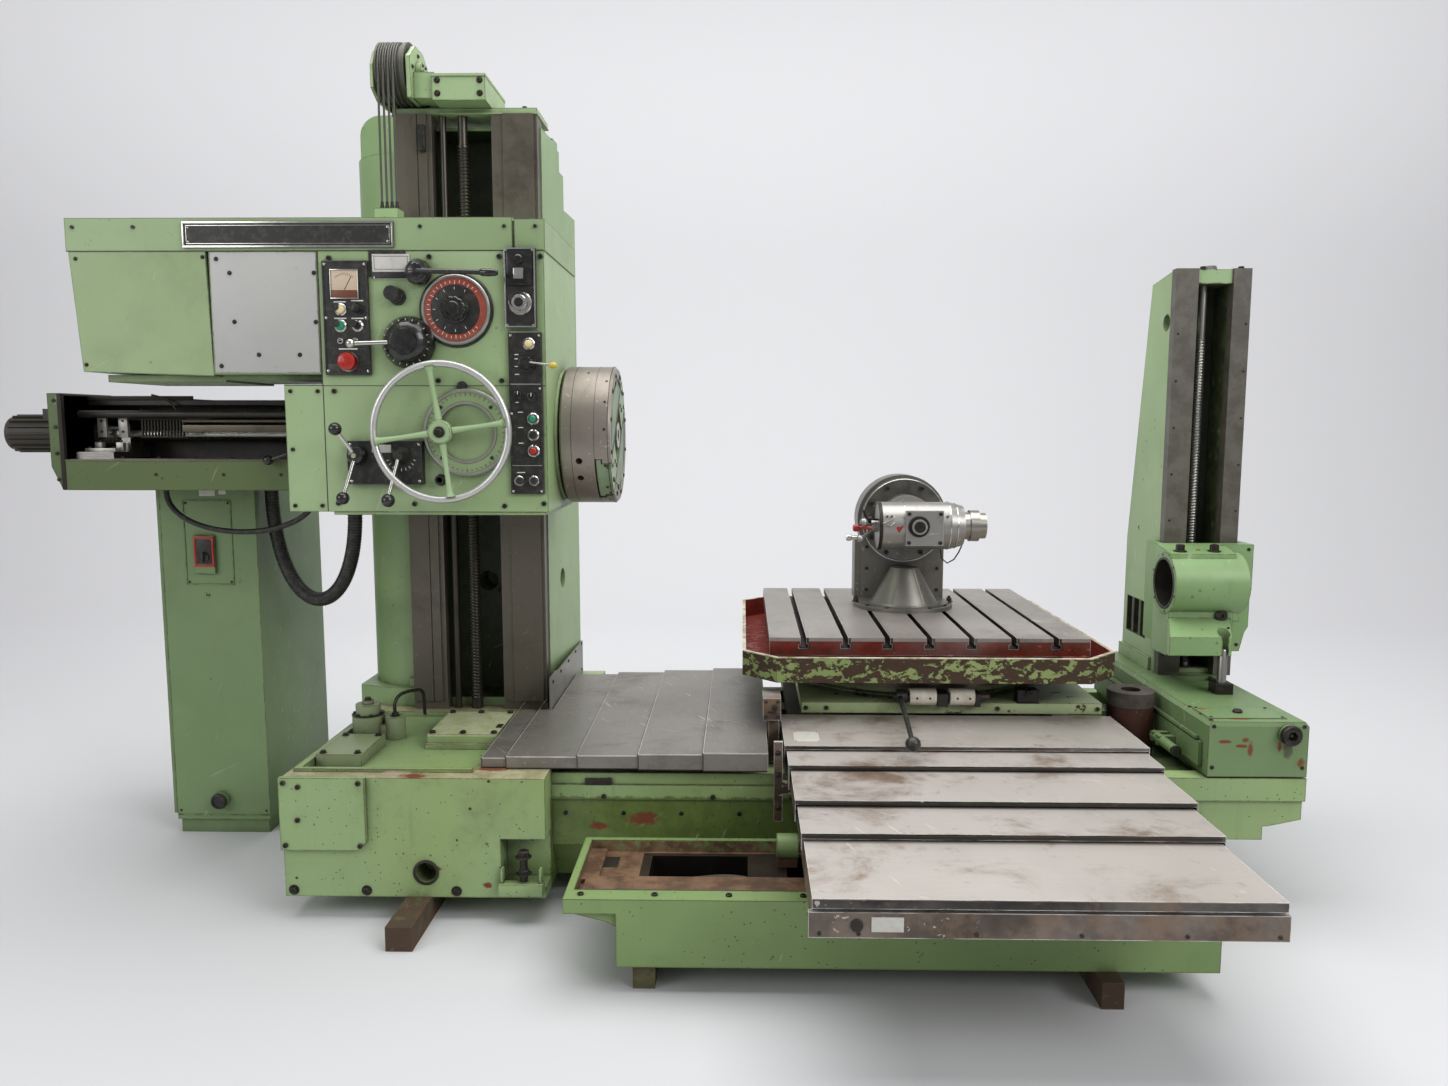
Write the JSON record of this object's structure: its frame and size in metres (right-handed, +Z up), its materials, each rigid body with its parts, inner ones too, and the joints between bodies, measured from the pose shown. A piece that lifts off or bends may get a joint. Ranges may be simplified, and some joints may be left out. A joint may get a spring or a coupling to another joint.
{
  "type": "horizontal_boring_mill",
  "caption": "Table-type horizontal boring and milling machine with rotary table, telescopic covers, facing head, end support column and control cabinet",
  "frame": {"origin": "centre of the footprint on the floor", "axes": "X along the spindle from the headstock to the end support, Y away from the operator, Z up"},
  "size_m": [5.024, 3.384, 3.283],
  "materials": {
    "floor_blocks": "rusty cast iron",
    "main_bed": "worn sage green machine paint with rust patches",
    "front_support_bed": "worn green paint outside, red-brown rust in the trough",
    "rear_support_bed": "worn green paint outside, red-brown rust in the trough",
    "column": "worn green machine paint",
    "column_ways": "ground cast iron, oily brown-grey",
    "column_guard_plate": "grey sheet steel",
    "lifting_screw": "oily steel screw",
    "sheave_bracket": "worn green paint",
    "rope_sheave": "grey cast iron, grooves polished by the ropes",
    "headstock_ropes": "greasy wire rope",
    "coolant_pump": "dark green paint",
    "electrical_cabinet": "light green sheet metal paint",
    "cabinet_door": "light green sheet metal paint",
    "headstock_body": "worn green machine paint with scratches",
    "headstock_top_beam": "worn green machine paint",
    "gear_cover_box": "green paint and grey sheet",
    "feed_arm": "worn green machine paint",
    "feed_motor": "dark grey-green paint",
    "facing_head": "turned steel, brown-grey film of oil and rust",
    "facing_slide": "ground steel",
    "boring_spindle": "ground hardened steel",
    "handwheel": "plated rim, green spokes",
    "feed_dial": "dark green disc with a steel ring",
    "control_panels": "black panels with worn edges",
    "speed_lever": "steel lever, black grip",
    "feed_lever": "black hub with a steel lever",
    "shift_levers": "black balls on steel rods",
    "saddle": "oily cast iron",
    "saddle_end_plate": "brown-grey sheet steel",
    "front_cover_1": "scratched grey-brown sheet steel",
    "front_cover_2": "scratched grey-brown sheet steel",
    "front_cover_3": "scratched grey-brown sheet steel",
    "front_cover_4": "scratched grey-brown sheet steel",
    "rear_cover_1": "scratched grey-brown sheet steel",
    "rear_cover_2": "scratched grey-brown sheet steel",
    "rear_cover_3": "scratched grey-brown sheet steel",
    "rear_cover_4": "scratched grey-brown sheet steel",
    "bed_cover_1": "scratched grey sheet steel",
    "bed_cover_2": "scratched grey sheet steel",
    "bed_cover_3": "scratched grey sheet steel",
    "bed_cover_4": "scratched grey sheet steel",
    "bed_cover_5": "scratched grey sheet steel",
    "cross_slide": "worn green machine paint",
    "clamp_lever": "black lever and ball",
    "table": "machined cast iron with light surface rust",
    "chip_tray": "flaked green paint, red-brown rust inside",
    "milling_head_stand": "silver paint",
    "milling_head": "silver paint",
    "milling_head_nose": "turned steel",
    "end_support_base": "worn green machine paint with rust patches",
    "end_support_column": "light green paint, dark steel ways",
    "end_support_screw": "bright steel screw",
    "bearing_block": "worn green machine paint",
    "round_stand": "red-brown rusty cast iron",
    "hose_bundle": "black rubber hose",
    "arm_hose": "black rubber hose"
  },
  "bodies": {
    "base": {"floor_blocks": "floor_blocks", "main_bed": "main_bed", "front_support_bed": "front_support_bed", "rear_support_bed": "rear_support_bed", "column": "column", "column_ways": "column_ways", "column_guard_plate": "column_guard_plate", "lifting_screw": "lifting_screw", "sheave_bracket": "sheave_bracket", "coolant_pump": "coolant_pump", "electrical_cabinet": "electrical_cabinet", "round_stand": "round_stand", "bed_cover_1": "bed_cover_1", "bed_cover_2": "bed_cover_2", "headstock_ropes": "headstock_ropes", "hose_bundle": "hose_bundle"},
    "headstock": {"headstock_body": "headstock_body", "headstock_top_beam": "headstock_top_beam", "gear_cover_box": "gear_cover_box", "feed_arm": "feed_arm", "feed_motor": "feed_motor", "feed_dial": "feed_dial", "control_panels": "control_panels", "arm_hose": "arm_hose"},
    "sheave": {"rope_sheave": "rope_sheave"},
    "door": {"cabinet_door": "cabinet_door"},
    "facing_head": {"facing_head": "facing_head"},
    "facing_slide": {"facing_slide": "facing_slide"},
    "boring_spindle": {"boring_spindle": "boring_spindle"},
    "handwheel": {"handwheel": "handwheel"},
    "speed_lever": {"speed_lever": "speed_lever"},
    "feed_lever": {"feed_lever": "feed_lever"},
    "shift_levers": {"shift_levers": "shift_levers"},
    "saddle": {"saddle": "saddle", "saddle_end_plate": "saddle_end_plate", "bed_cover_5": "bed_cover_5"},
    "bed_cover_3": {"bed_cover_3": "bed_cover_3"},
    "bed_cover_4": {"bed_cover_4": "bed_cover_4"},
    "cross_slide": {"cross_slide": "cross_slide", "front_cover_1": "front_cover_1", "rear_cover_1": "rear_cover_1"},
    "front_cover_2": {"front_cover_2": "front_cover_2"},
    "front_cover_3": {"front_cover_3": "front_cover_3"},
    "front_cover_4": {"front_cover_4": "front_cover_4"},
    "rear_cover_2": {"rear_cover_2": "rear_cover_2"},
    "rear_cover_3": {"rear_cover_3": "rear_cover_3"},
    "rear_cover_4": {"rear_cover_4": "rear_cover_4"},
    "clamp_lever": {"clamp_lever": "clamp_lever"},
    "table": {"table": "table", "chip_tray": "chip_tray", "milling_head_stand": "milling_head_stand"},
    "milling_head": {"milling_head": "milling_head"},
    "milling_nose": {"milling_head_nose": "milling_head_nose"},
    "end_support": {"end_support_base": "end_support_base", "end_support_column": "end_support_column", "end_support_screw": "end_support_screw"},
    "bearing_block": {"bearing_block": "bearing_block"}
  },
  "joints": [
    {"name": "headstock_travel", "type": "slide", "parent": "base", "child": "headstock", "axis": [0, 0, 1], "range_m": [-0.7, 0.37], "deforming": ["headstock_ropes", "hose_bundle"]},
    {"name": "sheave_turn", "type": "hinge", "parent": "base", "child": "sheave", "pos_m": [-0.989, 0.125, 3.162], "axis": [1, 0, 0], "range_deg": [-240, 400]},
    {"name": "facing_head_turn", "type": "hinge", "parent": "headstock", "child": "facing_head", "pos_m": [-0.183, -0.1, 1.71], "axis": [1, 0, 0], "continuous": true},
    {"name": "facing_slide_travel", "type": "slide", "parent": "facing_head", "child": "facing_slide", "axis": [0, 0.7431, 0.6691], "range_m": [-0.04, 0.04]},
    {"name": "spindle_travel", "type": "slide", "parent": "headstock", "child": "boring_spindle", "axis": [1, 0, 0], "range_m": [0, 0.6]},
    {"name": "handwheel_turn", "type": "hinge", "parent": "headstock", "child": "handwheel", "pos_m": [-0.657, -0.57, 1.724], "axis": [0, 1, 0], "continuous": true},
    {"name": "speed_lever_turn", "type": "hinge", "parent": "headstock", "child": "speed_lever", "pos_m": [-0.737, -0.52, 2.288], "axis": [0, 1, 0], "range_deg": [-30, 30]},
    {"name": "feed_lever_turn", "type": "hinge", "parent": "headstock", "child": "feed_lever", "pos_m": [-0.781, -0.53, 2.042], "axis": [0, 1, 0], "range_deg": [-25, 25]},
    {"name": "shift_lever_turn", "type": "hinge", "parent": "headstock", "child": "shift_levers", "pos_m": [-0.973, -0.54, 1.64], "axis": [0, 1, 0], "range_deg": [-15, 15]},
    {"name": "saddle_travel", "type": "slide", "parent": "base", "child": "saddle", "axis": [-1, 0, 0], "range_m": [0, 0.56]},
    {"name": "bed_cover_4_travel", "type": "slide", "parent": "base", "child": "bed_cover_4", "axis": [-1, 0, 0], "range_m": [0, 0.38]},
    {"name": "bed_cover_3_travel", "type": "slide", "parent": "base", "child": "bed_cover_3", "axis": [-1, 0, 0], "range_m": [0, 0.2]},
    {"name": "cross_travel", "type": "slide", "parent": "saddle", "child": "cross_slide", "axis": [0, -1, 0], "range_m": [-0.22, 0.85]},
    {"name": "front_cover_2_travel", "type": "slide", "parent": "saddle", "child": "front_cover_2", "axis": [0, -1, 0], "range_m": [-0.17, 0.642]},
    {"name": "front_cover_3_travel", "type": "slide", "parent": "saddle", "child": "front_cover_3", "axis": [0, -1, 0], "range_m": [-0.115, 0.43]},
    {"name": "front_cover_4_travel", "type": "slide", "parent": "saddle", "child": "front_cover_4", "axis": [0, -1, 0], "range_m": [-0.06, 0.217]},
    {"name": "rear_cover_2_travel", "type": "slide", "parent": "saddle", "child": "rear_cover_2", "axis": [0, -1, 0], "range_m": [-0.17, 0.642]},
    {"name": "rear_cover_3_travel", "type": "slide", "parent": "saddle", "child": "rear_cover_3", "axis": [0, -1, 0], "range_m": [-0.115, 0.43]},
    {"name": "rear_cover_4_travel", "type": "slide", "parent": "saddle", "child": "rear_cover_4", "axis": [0, -1, 0], "range_m": [-0.06, 0.217]},
    {"name": "clamp_lever_turn", "type": "hinge", "parent": "cross_slide", "child": "clamp_lever", "pos_m": [1.036, -0.29, 0.7], "axis": [-1, 0, 0], "range_deg": [0, 40]},
    {"name": "table_turn", "type": "hinge", "parent": "cross_slide", "child": "table", "pos_m": [1.147, 0.365, 0.86], "axis": [0, 0, 1], "continuous": true},
    {"name": "milling_head_swivel", "type": "hinge", "parent": "table", "child": "milling_head", "pos_m": [1.152, 0.5, 1.318], "axis": [0, 1, 0], "range_deg": [-30, 30]},
    {"name": "milling_nose_turn", "type": "hinge", "parent": "milling_head", "child": "milling_nose", "pos_m": [1.417, 0.3, 1.312], "axis": [1, 0, 0], "continuous": true},
    {"name": "end_support_travel", "type": "slide", "parent": "base", "child": "end_support", "axis": [1, 0, 0], "range_m": [0, 0.1]},
    {"name": "bearing_block_travel", "type": "slide", "parent": "end_support", "child": "bearing_block", "axis": [0, 0, 1], "range_m": [-0.1, 1.05]},
    {"name": "cabinet_door_turn", "type": "hinge", "parent": "base", "child": "door", "pos_m": [-2.026, 0.65, 0.9], "axis": [0, 0, -1], "range_deg": [0, 110]}
  ],
  "couplings": [
    {"joint": "sheave_turn", "follows": "headstock_travel", "rad_per_m": -8.5106},
    {"joint": "bed_cover_4_travel", "follows": "saddle_travel", "ratio": 0.66},
    {"joint": "bed_cover_3_travel", "follows": "saddle_travel", "ratio": 0.33},
    {"joint": "front_cover_2_travel", "follows": "cross_travel", "ratio": 0.75},
    {"joint": "front_cover_3_travel", "follows": "cross_travel", "ratio": 0.5},
    {"joint": "front_cover_4_travel", "follows": "cross_travel", "ratio": 0.25},
    {"joint": "rear_cover_2_travel", "follows": "cross_travel", "ratio": 0.75},
    {"joint": "rear_cover_3_travel", "follows": "cross_travel", "ratio": 0.5},
    {"joint": "rear_cover_4_travel", "follows": "cross_travel", "ratio": 0.25}
  ]
}
